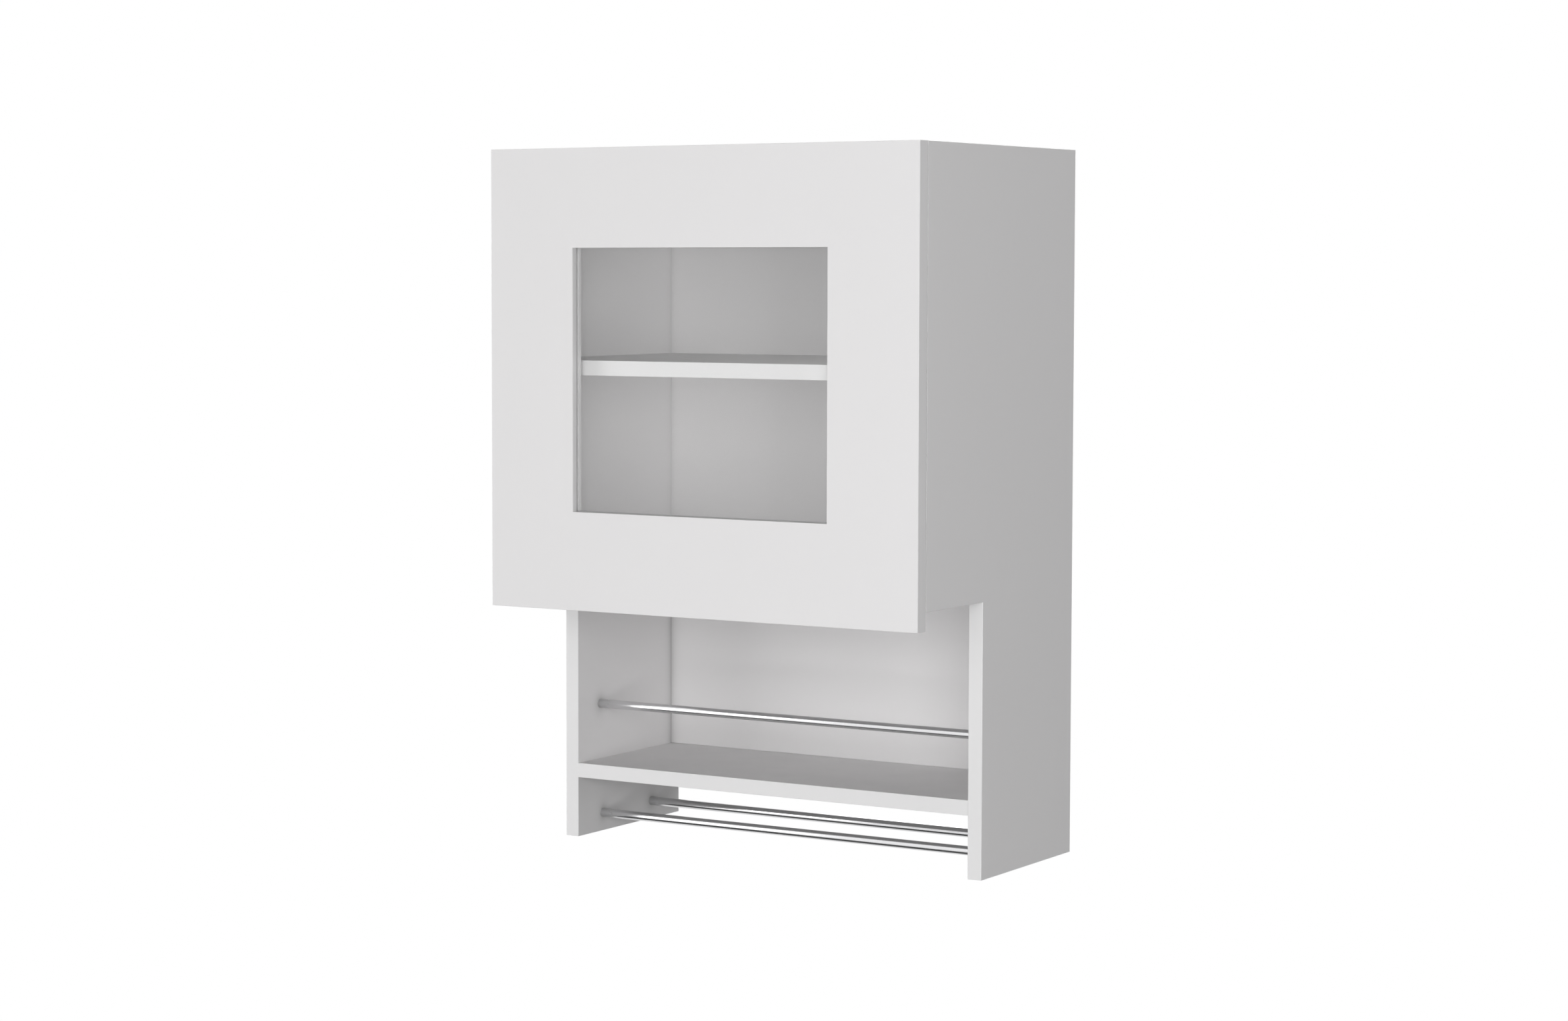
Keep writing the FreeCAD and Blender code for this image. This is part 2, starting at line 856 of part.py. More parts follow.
os.makedirs("parts", exist_ok=True)
for node_name, solid in all_nodes().items():
    if not solid.isValid():
        print("not valid:", node_name)
    solid.exportStep("parts/" + node_name + ".step")
    print(node_name, len(solid.Solids), round(solid.Volume))
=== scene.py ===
# %% [markdown]
# ## A white wall cabinet
#
# The cabinet arrives as a imported CAD frame: every board, rod and hinge part is already the right
# size and in the right place. This lesson dresses that frame. It sets up the camera and the light,
# gives each finish its own material, and models the small things that make a cabinet look made:
# eased board edges, round rods, screw heads and cams. The CAD box is measured first.

# %% Load the frame
import json
import math

import bpy
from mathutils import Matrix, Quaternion, Vector


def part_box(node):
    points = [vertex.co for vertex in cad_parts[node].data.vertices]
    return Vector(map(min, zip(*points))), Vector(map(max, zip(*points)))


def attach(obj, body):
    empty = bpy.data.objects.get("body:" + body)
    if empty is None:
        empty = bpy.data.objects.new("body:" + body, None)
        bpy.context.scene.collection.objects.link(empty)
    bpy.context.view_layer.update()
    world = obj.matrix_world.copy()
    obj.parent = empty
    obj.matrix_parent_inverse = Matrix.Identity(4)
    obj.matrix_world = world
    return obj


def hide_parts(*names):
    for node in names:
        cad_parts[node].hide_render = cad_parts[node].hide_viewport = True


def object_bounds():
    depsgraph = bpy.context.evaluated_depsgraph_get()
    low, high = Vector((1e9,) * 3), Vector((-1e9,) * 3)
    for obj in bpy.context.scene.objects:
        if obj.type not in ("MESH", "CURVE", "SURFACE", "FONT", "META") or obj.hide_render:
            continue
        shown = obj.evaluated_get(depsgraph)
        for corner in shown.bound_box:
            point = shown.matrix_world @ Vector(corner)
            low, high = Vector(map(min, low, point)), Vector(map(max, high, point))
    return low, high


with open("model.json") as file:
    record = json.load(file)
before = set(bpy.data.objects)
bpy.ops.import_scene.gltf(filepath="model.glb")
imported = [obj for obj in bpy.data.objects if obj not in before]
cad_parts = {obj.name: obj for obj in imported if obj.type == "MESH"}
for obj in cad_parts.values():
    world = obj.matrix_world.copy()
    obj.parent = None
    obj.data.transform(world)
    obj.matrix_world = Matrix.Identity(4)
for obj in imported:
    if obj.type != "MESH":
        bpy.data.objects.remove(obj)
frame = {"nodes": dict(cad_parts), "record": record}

cad_low, cad_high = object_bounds()
nodes = frame["nodes"]
MM = 0.001
print("CAD box:", [round(v, 4) for v in (*cad_low, *cad_high)])

# %% [markdown]
# ## The camera
#
# The picture was taken from the right of the cabinet and a little below its top, from some three and
# a half metres away with a long lens. The viewpoint comes from matching the boards' corners. The
# lens is centred a little left of the cabinet, so the frame is shifted sideways to take it all in.

# %% Camera
PHOTO_WIDTH, PHOTO_HEIGHT = 2380, 1550
FOCAL_PIXELS = 5139.5
LENS_CENTRE = (993.7, 749.6)
CAMERA_PLACE = Vector((1.7371, -3.0818, 0.1110))
CAMERA_TURN = 32.927
CAMERA_DIP = 3.861
SENSOR = 36.0


def add_camera():
    data = bpy.data.cameras.new("camera")
    data.sensor_width = SENSOR
    data.lens = FOCAL_PIXELS * SENSOR / PHOTO_WIDTH
    data.shift_x = (PHOTO_WIDTH / 2 - LENS_CENTRE[0]) / PHOTO_WIDTH
    data.shift_y = (LENS_CENTRE[1] - PHOTO_HEIGHT / 2) / PHOTO_WIDTH
    camera = bpy.data.objects.new("camera", data)
    camera.location = CAMERA_PLACE
    camera.rotation_euler = (math.radians(90 - CAMERA_DIP), 0, math.radians(CAMERA_TURN))
    bpy.context.collection.objects.link(camera)
    bpy.context.scene.camera = camera
    return camera


camera = add_camera()
print("lens:", round(camera.data.lens, 2))
print("shift:", round(camera.data.shift_x, 4), round(camera.data.shift_y, 4))

# %% [markdown]
# ## Writing shader maths as sums
#
# A material is a web of nodes, and a long formula makes a tangled web. A small class wraps a socket
# so that `1 - mask` or `a * b + c` in Python adds the Math nodes by itself. One method makes every
# other kind of node: it sets the node's own settings first, and then its inputs.

# %% Shader helper
class Value:
    """A number that changes over a surface: arithmetic on it adds Math nodes."""

    def __init__(self, shader, socket):
        self.shader, self.socket = shader, socket

    def _math(self, operation, first, second):
        return self.shader.node("ShaderNodeMath", {"operation": operation}, {0: first, 1: second})

    def __add__(self, other):
        return self._math("ADD", self, other)

    def __radd__(self, other):
        return self._math("ADD", other, self)

    def __sub__(self, other):
        return self._math("SUBTRACT", self, other)

    def __rsub__(self, other):
        return self._math("SUBTRACT", other, self)

    def __mul__(self, other):
        return self._math("MULTIPLY", self, other)

    def __rmul__(self, other):
        return self._math("MULTIPLY", other, self)

    def __abs__(self):
        return self._math("ABSOLUTE", self, 0)

    def __gt__(self, other):
        return self._math("GREATER_THAN", self, other)

    def __lt__(self, other):
        return self._math("LESS_THAN", self, other)


class Shader:
    """The node tree of one material or world."""

    def __init__(self, tree):
        self.tree = tree
        self.tree.nodes.clear()

    def node(self, kind, settings=None, inputs=None, output=0):
        made = self.tree.nodes.new(kind)
        for name, value in (settings or {}).items():
            if name == "stops":
                self._stops(made.color_ramp, value)
            else:
                setattr(made, name, value)
        for name, value in (inputs or {}).items():
            if isinstance(value, Value):
                self.tree.links.new(value.socket, made.inputs[name])
            else:
                made.inputs[name].default_value = value
        return Value(self, made.outputs[output]) if made.outputs else made

    def _stops(self, ramp, stops):
        while len(ramp.elements) < len(stops):
            ramp.elements.new(1)
        for element, (place, level) in zip(ramp.elements, stops):
            element.position = place
            element.color = (level, level, level, 1)

    def place(self):
        """Where a point is on the cabinet, in metres."""
        return self.node("ShaderNodeTexCoord", output="Object")

    def axes(self):
        """The three coordinates of that place."""
        return [self.node("ShaderNodeSeparateXYZ", {}, {0: self.place()}, axis) for axis in "XYZ"]

    def least(self, first, second):
        return self.node("ShaderNodeMath", {"operation": "MINIMUM"}, {0: first, 1: second})

    def fade(self, distance, reach):
        """1 where a distance is zero, dying away over that reach."""
        return self.node("ShaderNodeMath", {"operation": "EXPONENT"}, {0: distance * (-1 / reach)})

    def noise(self, scale, detail, stretch=None):
        where = self.place()
        if stretch:
            where = self.node("ShaderNodeMapping", {}, {"Vector": where, "Scale": stretch})
        return self.node(
            "ShaderNodeTexNoise", {}, {"Vector": where, "Scale": scale, "Detail": detail}, "Fac"
        )

    def spread(self, mask, low, high):
        """A mask of 0 to 1 stretched to run from low to high."""
        return self.node("ShaderNodeMapRange", {}, {"Value": mask, "To Min": low, "To Max": high})

    def blend(self, mask, first, second):
        """Two colours mixed by a mask."""
        pair = [end if isinstance(end, Value) else (*end, 1) for end in (first, second)]
        return self.node("ShaderNodeMix", {"data_type": "RGBA"}, {"Factor": mask, 6: pair[0], 7: pair[1]}, 2)

    def bump(self, height, distance, strength):
        return self.node(
            "ShaderNodeBump", {}, {"Height": height, "Distance": distance, "Strength": strength}, "Normal"
        )

    def surface(self, **inputs):
        named = {name.replace("_", " "): value for name, value in inputs.items()}
        body = self.node("ShaderNodeBsdfPrincipled", {}, named)
        self.node("ShaderNodeOutputMaterial", {}, {"Surface": body})


def new_shader(name):
    material = bpy.data.materials.new(name)
    material.use_nodes = True
    return material, Shader(material.node_tree)


# %% [markdown]
# ## The studio
#
# The cabinet hangs in front of plain white. The white is only what the camera, the chrome and the
# glass see of the surroundings: the light that falls on the boards is set by itself, so the boards
# keep their own shade against it. The ways that light can travel are told apart by the Light Path
# node, so one world can be white to look at and dim to be lit by.

# %% World
AMBIENT = 0.05
WHITE = (1, 1, 1, 1)
SEEN_RAYS = ("Is Camera Ray", "Is Glossy Ray", "Is Transmission Ray")


def seen_rays(shader):
    """1 for what the camera, a mirror or glass sees, and 0 for light that falls on things."""
    seen, mirrored, through = [shader.node("ShaderNodeLightPath", output=name) for name in SEEN_RAYS]
    return shader.node("ShaderNodeClamp", {}, {"Value": seen + mirrored + through})


def dress_world():
    world = bpy.data.worlds.new("studio")
    world.use_nodes = True
    bpy.context.scene.world = world
    shader = Shader(world.node_tree)
    seen = seen_rays(shader)
    strength = seen * (1 - AMBIENT) + AMBIENT
    sky = shader.node("ShaderNodeBackground", {}, {"Color": WHITE, "Strength": strength})
    shader.node("ShaderNodeOutputWorld", {}, {"Surface": sky})


dress_world()
bpy.context.scene.view_settings.view_transform = "Standard"
print("world: white to look at, with", AMBIENT, "of that as light")

# %% [markdown]
# ## The floor
#
# A hanging cabinet stands on nothing, but a pale sheet of paper well below it takes its shadow. Paper
# that is lit like the boards would look grey, so what the camera sees of it is mostly a white glow,
# with a little of its own shade left near the cabinet. In front of the cabinet a black band is painted
# on it that only glossy rays see. This painted reflection is what the rods show as a thin dark line.

# %% Floor
FLOOR_DROP = 1.4
FLOOR_SIZE = 16.0
FLOOR_FADE = (1.2, 4.0)
FLOOR_GLOW = (0.72, 1.0)
FLOOR_GREY = (0.35, 0.35, 0.35, 1)
# Painted reflection: a dark band across the floor, seen only by glossy rays.
DARK_REFLECTION_NEAR, DARK_REFLECTION_FAR = -0.25, -2.3


def floor_material():
    """Pale paper that keeps some shade near the cabinet and fades out to plain white."""
    material, shader = new_shader("floor_paper")
    seen = seen_rays(shader)
    mirrored = shader.node("ShaderNodeLightPath", {}, {}, "Is Glossy Ray")
    across = shader.node("ShaderNodeSeparateXYZ", {}, {0: shader.place()}, "Y")
    # Painted reflection: black for glossy rays in that band, so the rods show a dark line.
    dark_reflection = (across < DARK_REFLECTION_NEAR) * (across > DARK_REFLECTION_FAR) * mirrored
    away = shader.node("ShaderNodeVectorMath", {"operation": "LENGTH"}, {0: shader.place()}, "Value")
    fade = shader.node(
        "ShaderNodeMapRange",
        {"interpolation_type": "SMOOTHSTEP"},
        {
            "Value": away,
            "From Min": FLOOR_FADE[0],
            "From Max": FLOOR_FADE[1],
            "To Min": FLOOR_GLOW[0],
            "To Max": FLOOR_GLOW[1],
        },
    )
    paper = shader.node("ShaderNodeBsdfDiffuse", {}, {"Color": FLOOR_GREY})
    glow = shader.node("ShaderNodeEmission", {}, {"Color": shader.blend(dark_reflection, (1, 1, 1), (0, 0, 0))})
    mixed = shader.node("ShaderNodeMixShader", {}, {0: seen * fade, 1: paper, 2: glow})
    shader.node("ShaderNodeOutputMaterial", {}, {"Surface": mixed})
    return material


def add_floor():
    bpy.ops.object.select_all(action="DESELECT")
    bpy.ops.mesh.primitive_plane_add(size=FLOOR_SIZE, location=(0, 0, cad_low.z - FLOOR_DROP))
    floor = bpy.context.object
    floor.name = "floor"
    floor.data.materials.append(floor_material())


add_floor()
print("floor:", FLOOR_DROP, "m below the cabinet")

# %% [markdown]
# ## Lamps
#
# A panel that is wide for its distance gives soft light with no hard shadow. The main one stands in
# front of the cabinet at about its own height, which is why the door is bright, the side is a mid grey
# and the tops of the shelves are darker still. The raised one helps it, the left fill reaches into the
# open bay, and the others keep the sides, the top and the back from going black.

# %% Lamps
LAMP_REACH = 4.2
LAMP_SIZE = 2.4
# Each lamp: how far round to the right and how high, in degrees, and its power in watts.
LAMPS = {
    "front_panel": (28, 0, 87),
    "raised_panel": (20, 18, 27),
    "left_fill": (-45, 0, 46),
    "side_panel_lamp": (100, 30, 34),
    "top_panel_lamp": (0, 65, 18),
    "left_panel_lamp": (-100, 22, 42),
    "rear_panel_lamp": (196, 30, 62),
}


def add_lamp(name, turn, rise, power):
    """A square soft panel that faces the cabinet from that direction."""
    data = bpy.data.lights.new(name, "AREA")
    data.shape, data.size, data.energy = "SQUARE", LAMP_SIZE, power
    lamp = bpy.data.objects.new(name, data)
    a, e = math.radians(turn), math.radians(rise)
    aim = (cad_low + cad_high) / 2
    way = Vector((math.sin(a) * math.cos(e), -math.cos(a) * math.cos(e), math.sin(e)))
    lamp.location = aim + way * LAMP_REACH
    lamp.rotation_mode = "QUATERNION"
    lamp.rotation_quaternion = way.to_track_quat("Z", "Y")
    lamp.visible_camera = False
    bpy.context.collection.objects.link(lamp)


for name, setting in LAMPS.items():
    add_lamp(name, *setting)
print("lamps:", ", ".join(LAMPS))

# %% [markdown]
# ## A lamp in the cupboard
#
# A closed cupboard swallows light, so a photographer hides a weak lamp inside it. This one lies flat
# against the right side, out of sight behind the door's stile, and lifts the opposite wall and the
# back. It is nearly as large as the side itself, so that no hot spot shows on the shelf beside it.

# %% Cupboard lamp
INSIDE_LAMP = 0.21
INSIDE_SIZE = (0.24, 0.40)
INSIDE_STANDOFF = 6 * MM


def add_inside_lamp():
    low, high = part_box("right_side")
    shelf_low, shelf_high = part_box("cupboard_shelf")
    data = bpy.data.lights.new("cupboard_lamp", "AREA")
    data.shape, data.size, data.size_y, data.energy = "RECTANGLE", *INSIDE_SIZE, INSIDE_LAMP
    lamp = bpy.data.objects.new("cupboard_lamp", data)
    lamp.location = (low.x - INSIDE_STANDOFF, (low.y + high.y) / 2, (shelf_low.z + shelf_high.z) / 2)
    lamp.rotation_euler = (math.pi / 2, 0, math.pi / 2)
    lamp.visible_camera = False
    bpy.context.collection.objects.link(lamp)


add_inside_lamp()
print("cupboard lamp:", INSIDE_LAMP, "W")

# %% [markdown]
# ## White melamine
#
# The boards are chipboard faced with white melamine paper. It is nearly matte, and under a low light
# it shows a very fine pebble that keeps fingerprints from showing. Grey is painted into the upright
# corners, round the rods' ends and under the lower shelf, where shade gathers. This is painted shade,
# and there is less of it inside the closed cupboard. All pieces share the cabinet's coordinates, so
# a corner is found by arithmetic: a point is near one when its distances to a side and to the back
# are both small. Adding a metre puts a distance out of play.

# %% Painted corner shade
# How far the painted shade reaches from a corner or a rod.
CORNER_SHADE_REACH = 5 * MM
SHADE_REACH = 40 * MM
# The share of the painted corner shade that the closed cupboard leaves out, and the share of painted shade
# below the shelf.
CUPBOARD_SHADE_CUT = 0.6
BELOW_SHELF = 0.6
SIDE_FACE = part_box("right_side")[0].x
BACK_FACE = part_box("back_panel")[0].y
BACK_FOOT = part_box("back_panel")[0].z
RODS = ("gallery_rail", "front_hanging_rod", "rear_hanging_rod")
CUPBOARD_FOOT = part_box("cupboard_floor")[1].z
SHELF_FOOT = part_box("open_shelf")[0].z


def rod_distance(shader):
    """How far a point of a side is from the nearest rod that goes into it."""
    flat = shader.node("ShaderNodeVectorMath", {"operation": "MULTIPLY"}, {0: shader.place(), 1: (0, 1, 1)})
    nearest = 1
    for low, high in map(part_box, RODS):
        axis = (0, (low.y + high.y) / 2, (low.z + high.z) / 2)
        away = shader.node("ShaderNodeVectorMath", {"operation": "DISTANCE"}, {0: flat, 1: axis}, "Value")
        nearest = shader.least(away - (high.z - low.z) / 2, nearest)
    return nearest


def painted_corner_shade(shader):
    """Painted shade: 1 in the upright corners, round the rods and under the lower shelf, and nothing far
    from them.
    """
    x, y, z = shader.axes()
    outside = abs(x) > SIDE_FACE + MM
    side = abs(abs(x) - SIDE_FACE) + (y > BACK_FACE + MM) + outside
    back = abs(y - BACK_FACE) + (z < BACK_FOOT - MM) + outside
    corner = shader.fade(side + back, CORNER_SHADE_REACH) * (1 - CUPBOARD_SHADE_CUT * (z > CUPBOARD_FOOT - MM))
    rods = shader.fade(side + rod_distance(shader), CORNER_SHADE_REACH)
    below = shader.fade(abs(SHELF_FOOT - z) + (z > SHELF_FOOT) + outside, SHADE_REACH)
    return corner + rods + below * BELOW_SHELF


print("dusty corners at x =", round(SIDE_FACE, 4), "and y =", round(BACK_FACE, 4))

# %% [markdown]
# The boards, the door and the cupboard's shelf differ only in painted shade and gloss, so one function
# makes the melamine of all three. The faces that look up get an uneven painted shade of their own,
# because little light falls on them. A fine noise is the pebble, and a broad one lets the white drift a
# little, because a board that is one flat colour looks like plastic.

# %% Melamine
MELAMINE_WHITE = (0.846, 0.837, 0.840)
MELAMINE_SHADE = (0.832, 0.823, 0.826)
MELAMINE_ROUGH = (0.5, 0.64)
MELAMINE_GLOSS = 0.3
PEBBLE_SCALE = 2600
PEBBLE_BUMP = (0.02 * MM, 0.4)
DRIFT_SCALE = 9
# The grey of the painted shade in corners and on faces that look up.
PAINTED_SHADE_GREY = (0.56, 0.556, 0.555)
UPWARD_SHADE_SCALE = 25
LOOKS_UP = 0.7


def upward_painted_shade(shader, thin, thick):
    """Painted shade: an uneven grey on the faces that look up, where little light falls."""
    normal = shader.node("ShaderNodeTexCoord", output="Normal")
    up = shader.node("ShaderNodeSeparateXYZ", {}, {0: normal}, "Z")
    return (up > LOOKS_UP) * shader.spread(shader.noise(UPWARD_SHADE_SCALE, detail=4), thin, thick)


def melamine(name, shade_range=None, gloss=MELAMINE_GLOSS):
    material, shader = new_shader(name)
    pebble = shader.noise(PEBBLE_SCALE, detail=1)
    drift = shader.noise(DRIFT_SCALE, detail=3)
    colour = shader.blend(drift, MELAMINE_SHADE, MELAMINE_WHITE)
    if shade_range:
        # Painted shade: grey blended into the corners, round the rods, under the shelf and on the faces that
        # look up.
        colour = shader.blend(painted_corner_shade(shader) + upward_painted_shade(shader, *shade_range), colour, PAINTED_SHADE_GREY)
    shader.surface(
        Base_Color=colour,
        Roughness=shader.spread(pebble, *MELAMINE_ROUGH),
        Specular_IOR_Level=gloss,
        Normal=shader.bump(pebble, *PEBBLE_BUMP),
    )
    return material


BOARD_FACE = melamine("shaded_melamine", shade_range=(0.25, 0.5))
DOOR_FACE = melamine("door_melamine")
SHELF_FACE = melamine("cupboard_shelf_melamine", shade_range=(0.5, 0.8), gloss=0.02)
print("melamine:", ", ".join(face.name for face in (BOARD_FACE, DOOR_FACE, SHELF_FACE)))

# %% [markdown]
# ## Metals
#
# Chrome is a mirror with a slight haze. Near its ends, which are seldom polished, it is rougher, and its
# colour is darker as a painted shade where it enters the side.
# The hinges are nickel plated steel with a drawn grain, and the cams and screws are zinc: rougher and
# a little blue. One function makes both platings, since only their colours and grain differ.

# %% Metals
CHROME = (0.78, 0.78, 0.79)
# Painted shade: the chrome's colour darkens towards the side that it enters.
CHROME_END_SHADE = (0.64, 0.64, 0.645)
ROD_END_REACH = 18 * MM
HAZE_SCALE = 140
CHROME_ROUGH = (0.14, 0.2)
DULL_ROUGH = 0.2
PLATE_VARIES = 0.06
PLATE_BUMP = (0.02 * MM, 0.08)


def chrome():
    material, shader = new_shader("polished_chrome")
    haze = shader.noise(HAZE_SCALE, detail=3)
    end = shader.fade(abs(abs(shader.axes()[0]) - SIDE_FACE), ROD_END_REACH)
    shader.surface(
        Base_Color=shader.blend(end, CHROME, CHROME_END_SHADE),
        Metallic=1.0,
        Roughness=shader.spread(haze, *CHROME_ROUGH) + end * DULL_ROUGH,
    )
    return material


def plated(name, bright, dark, scale, stretch, rough):
    material, shader = new_shader(name)
    grain = shader.noise(scale, detail=2, stretch=stretch)
    shader.surface(
        Base_Color=shader.blend(grain, dark, bright),
        Metallic=1.0,
        Roughness=shader.spread(grain, rough - PLATE_VARIES, rough + PLATE_VARIES),
        Normal=shader.bump(grain, *PLATE_BUMP),
    )
    return material


POLISHED_CHROME = chrome()
NICKEL_PLATE = plated(
    "nickel_plate",
    bright=(0.66, 0.65, 0.62),
    dark=(0.56, 0.55, 0.52),
    scale=900,
    stretch=(1, 0.05, 1),
    rough=0.26,
)
ZINC_PLATE = plated(
    "zinc_plate",
    bright=(0.5, 0.51, 0.54),
    dark=(0.38, 0.39, 0.41),
    scale=700,
    stretch=(1, 1, 1),
    rough=0.42,
)
print("metals:", ", ".join(metal.name for metal in (POLISHED_CHROME, NICKEL_PLATE, ZINC_PLATE)))

# %% [markdown]
# ## Glass, plastic and wood
#
# The glass is clear, and a thin pane hardly bends the view, so a low alpha lets the view straight
# through. What is left is a thin veil with reflections. The small mouldings share one plastic, and
# the dowels are bare beech with its grain along the peg.

# %% Glass, plastic and wood
GLASS_TINT = (0.92, 0.93, 0.925, 1)
GLASS_ROUGH = (0.01, 0.04)
GLASS_VEIL = (0.05, 0.07)
SMEAR_SCALE = 6
PLASTIC_SHADE = 0.94
PLASTIC_VARIES = 0.05
PLASTIC_BUMP = (0.02 * MM, 0.4)
BEECH_DARK, BEECH_LIGHT = (0.42, 0.27, 0.15), (0.66, 0.48, 0.3)
BEECH_ROUGH = (0.6, 0.75)
BEECH_SCALE = 60
ALONG_PEG = (0.05, 1, 1)


def glass():
    material, shader = new_shader("clear_glass")
    smear = shader.noise(SMEAR_SCALE, detail=4)
    shader.surface(
        Base_Color=GLASS_TINT,
        Roughness=shader.spread(smear, *GLASS_ROUGH),
        Alpha=shader.spread(smear, *GLASS_VEIL),
    )
    return material


def plastic(name, colour, rough, scale):
    material, shader = new_shader(name)
    spark = shader.noise(scale, detail=2)
    darker = tuple(PLASTIC_SHADE * c for c in colour)
    shader.surface(
        Base_Color=shader.blend(spark, darker, colour),
        Roughness=shader.spread(spark, rough - PLASTIC_VARIES, rough + PLASTIC_VARIES),
        Normal=shader.bump(spark, *PLASTIC_BUMP),
    )
    return material


def beech():
    material, shader = new_shader("bare_beech")
    grain = shader.noise(BEECH_SCALE, detail=4, stretch=ALONG_PEG)
    shader.surface(
        Base_Color=shader.blend(grain, BEECH_DARK, BEECH_LIGHT),
        Roughness=shader.spread(grain, *BEECH_ROUGH),
    )
    return material


PIN_ENAMEL = plastic("white_pin_enamel", colour=MELAMINE_WHITE, rough=0.35, scale=700)
FINISHES = {
    "white_melamine": BOARD_FACE,
    "chromed_steel": POLISHED_CHROME,
    "nickel_steel": NICKEL_PLATE,
    "zinc_steel": ZINC_PLATE,
    "clear_glass": glass(),
    "beech": beech(),
    "white_plastic": plastic("catch_plastic", colour=(0.84, 0.84, 0.83), rough=0.45, scale=500),
    "magnet": plastic("ferrite", colour=(0.06, 0.06, 0.065), rough=0.55, scale=900),
    "clear_rubber": plastic("bumper_silicone", colour=(0.8, 0.82, 0.82), rough=0.3, scale=400),
}
print("finishes:", ", ".join(FINISHES))

# %% [markdown]
# ## Dressing the CAD nodes
#
# The frame's record names a material slot for every node, so one loop can dress them all. A piece that
# gets no model of its own below, such as the glass, is finished by this step.

# %% Dress the nodes
SLOT_OF = {part["node"]: part["material_slot"] for part in frame["record"]["subparts"]}
BODY_OF = {node: body for body, held in frame["record"]["behaviour"]["bodies"].items() for node in held}


def dress_nodes():
    for node, slot in SLOT_OF.items():
        nodes[node].data.materials.clear()
        nodes[node].data.materials.append(FINISHES[slot])
    nodes["bead_pins"].data.materials[0] = PIN_ENAMEL


dress_nodes()
print("dressed", len(SLOT_OF), "CAD nodes")

# %% [markdown]
# ## Working on copies of CAD meshes
#
# A CAD node is never edited: a copy of its mesh is worked on and then stands in its place. The mesh
# arrives as loose triangles, so the copy is merged first and its flat faces are made whole, and only
# then do its edges mean something. The helpers below select edges or faces by a test on where they
# are, because numbers of edges would change with every pack.

# %% Copies of CAD meshes
MERGE_GAP = 0.001 * MM
FLAT_ANGLE = math.radians(0.5)
SQUARE_EDGE = 60


def take(piece):
    """Makes a piece the only one that is selected and worked on."""
    bpy.ops.object.select_all(action="DESELECT")
    piece.select_set(True)
    bpy.context.view_layer.objects.active = piece


def merged_copy(node):
    """A new piece from a CAD node's mesh: loose triangles joined, flat faces made whole."""
    piece = bpy.data.objects.new(f"{node}_finished", nodes[node].data.copy())
    bpy.context.collection.objects.link(piece)
    take(piece)
    bpy.ops.mesh.customdata_custom_splitnormals_clear()
    bpy.ops.object.mode_set(mode="EDIT")
    bpy.ops.mesh.select_all(action="SELECT")
    bpy.ops.mesh.remove_doubles(threshold=MERGE_GAP)
    bpy.ops.mesh.dissolve_limited(angle_limit=FLAT_ANGLE)
    bpy.ops.object.mode_set(mode="OBJECT")
    return piece


def stand_for(piece, node):
    """Puts a finished piece in the place of its CAD node."""
    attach(piece, BODY_OF[node])
    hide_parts(node)
    return piece


def select_edges(piece, sharpness, wanted):
    """Selects the edges sharper than so many degrees whose two ends pass a test."""
    bpy.ops.object.mode_set(mode="EDIT")
    bpy.ops.mesh.select_mode(type="EDGE")
    bpy.ops.mesh.select_all(action="DESELECT")
    bpy.ops.mesh.edges_select_sharp(sharpness=math.radians(sharpness))
    bpy.ops.object.mode_set(mode="OBJECT")
    points = piece.data.vertices
    for edge in piece.data.edges:
        ends = [points[i].co for i in edge.vertices]
        edge.select = edge.select and wanted(*ends)


def select_faces(piece, wanted):
    """Selects the faces that pass a test, and nothing else."""
    take(piece)
    bpy.ops.object.mode_set(mode="EDIT")
    bpy.ops.mesh.select_mode(type="FACE")
    bpy.ops.mesh.select_all(action="DESELECT")
    bpy.ops.object.mode_set(mode="OBJECT")
    for face in piece.data.polygons:
        face.select = wanted(face)


def bevel_selected(width, segments, clamp=False):
    bpy.ops.object.mode_set(mode="EDIT")
    bpy.ops.mesh.bevel(offset=width, segments=segments, affect="EDGES", clamp_overlap=clamp)
    bpy.ops.object.mode_set(mode="OBJECT")


# %% [markdown]
# ## Edge band
#
# The narrow faces of a board are covered by a plastic band, a little smoother than the melamine beside
# it. Round the window the band is painted greyer where it meets the glass, as painted shade that is
# strongest on the sill, which faces up. The painted shade fades with the distance to the pane, which needs
# no painting by hand.

# %% Edge band
BAND_WHITE = (0.838, 0.834, 0.836)
BAND_SHADE = (0.824, 0.820, 0.822)
# Painted light: a lighter copy of the band for the cupboard shelf's edge, lifting it out of the shade behind
# the glass.
LIT_BAND_WHITE = (0.856, 0.853, 0.854)
LIT_BAND_SHADE = (0.844, 0.841, 0.842)
# Painted shade: the dark grey on the sill beside the glass.
SILL_SHADE = (0.3, 0.297, 0.293)
BAND_ROUGH = (0.34, 0.42)
JAMB_ROUGH = (0.45, 0.55)
BAND_BUMP = (0.01 * MM, 0.3)
BAND_DRIFT = 14
BAND_FINE = 1500


def edge_band(name, bright, shade):
    material, shader = new_shader(name)
    drift = shader.noise(BAND_DRIFT, detail=3)
    fine = shader.noise(BAND_FINE, detail=1)
    shader.surface(
        Base_Color=shader.blend(drift, shade, bright),
        Roughness=shader.spread(fine, *BAND_ROUGH),
        Normal=shader.bump(fine, *BAND_BUMP),
    )
    return material


